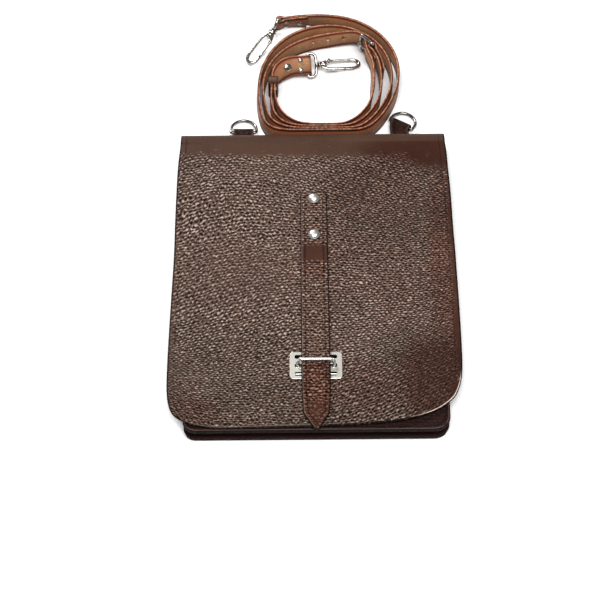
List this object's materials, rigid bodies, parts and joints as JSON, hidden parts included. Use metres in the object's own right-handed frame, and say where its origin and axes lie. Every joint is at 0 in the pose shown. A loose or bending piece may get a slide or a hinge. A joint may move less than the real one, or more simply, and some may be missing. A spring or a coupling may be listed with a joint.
{
  "type": "map case",
  "caption": "Brown leather map case lying flat: a wide flap with a tongue strap over a slotted plate and staple, D-rings at the spine, and its unclipped shoulder strap rolled up behind.",
  "frame": {"origin": "centre of the back panel's outer face, which the case lies on", "axes": "+X across the case to the right, +Y towards the spine and D-rings, +Z out of the flap"},
  "size_m": [0.2661, 0.484, 0.0309],
  "materials": {
    "case_leather": "grained",
    "body_leather": "smooth",
    "strap_leather": "smooth",
    "nickel": "worn",
    "dark_metal": "worn"
  },
  "bodies": {
    "case": {"buckle_frame": "nickel", "buckle_prong": "nickel", "case_leather": "case_leather", "eye_a": "nickel", "eye_b": "nickel", "front_panel": "body_leather", "gusset": "body_leather", "keeper": "strap_leather", "ring_tab_left": "case_leather", "ring_tab_right": "case_leather", "rivet_a_0": "nickel", "rivet_a_1": "nickel", "rivet_a_2": "nickel", "rivet_b_0": "nickel", "rivet_b_1": "nickel", "rivet_buckle_0": "nickel", "rivet_buckle_1": "nickel", "rivet_lower": "nickel", "rivet_upper": "nickel", "slot_plate": "nickel", "staple": "nickel", "strap_long": "strap_leather", "strap_short": "strap_leather", "stud": "nickel", "tongue_strap": "case_leather"},
    "left_ring": {"d_ring_left": "dark_metal"},
    "right_ring": {"d_ring_right": "dark_metal"},
    "hook_a_body": {"hook_a": "nickel"},
    "hook_a_gate": {"gate_a": "nickel"},
    "hook_b_body": {"hook_b": "nickel"},
    "hook_b_gate": {"gate_b": "nickel"}
  },
  "joints": [
    {"name": "left_ring_swing", "type": "hinge", "parent": "case", "child": "left_ring", "pos_m": [-0.0683, 0.1749, 0.00435], "axis": [1, 0, 0], "range_deg": [0, 125]},
    {"name": "right_ring_swing", "type": "hinge", "parent": "case", "child": "right_ring", "pos_m": [0.088, 0.183, 0.00435], "axis": [0.866, -0.5, 0], "range_deg": [0, 110]},
    {"name": "hook_a_swivel", "type": "hinge", "parent": "case", "child": "hook_a_body", "pos_m": [-0.04141, 0.29646, 0.01153], "axis": [-0.5795, -0.785, -0.2192], "continuous": true},
    {"name": "hook_b_swivel", "type": "hinge", "parent": "case", "child": "hook_b_body", "pos_m": [0.01036, 0.25823, 0.00726], "axis": [0.9864, 0.1178, -0.1151], "continuous": true},
    {"name": "hook_a_gate_hinge", "type": "hinge", "parent": "hook_a_body", "child": "hook_a_gate", "pos_m": [-0.04202, 0.28746, 0.00982], "axis": [0.1302, 0.1764, -0.9757], "range_deg": [0, 25], "stiffness_Nm_per_rad": 0.01, "springref_deg": -11.46},
    {"name": "hook_b_gate_hinge", "type": "hinge", "parent": "hook_b_body", "child": "hook_b_gate", "pos_m": [0.01748, 0.26397, 0.00636], "axis": [-0.1143, -0.0136, -0.9934], "range_deg": [0, 25], "stiffness_Nm_per_rad": 0.01, "springref_deg": -11.46}
  ]
}
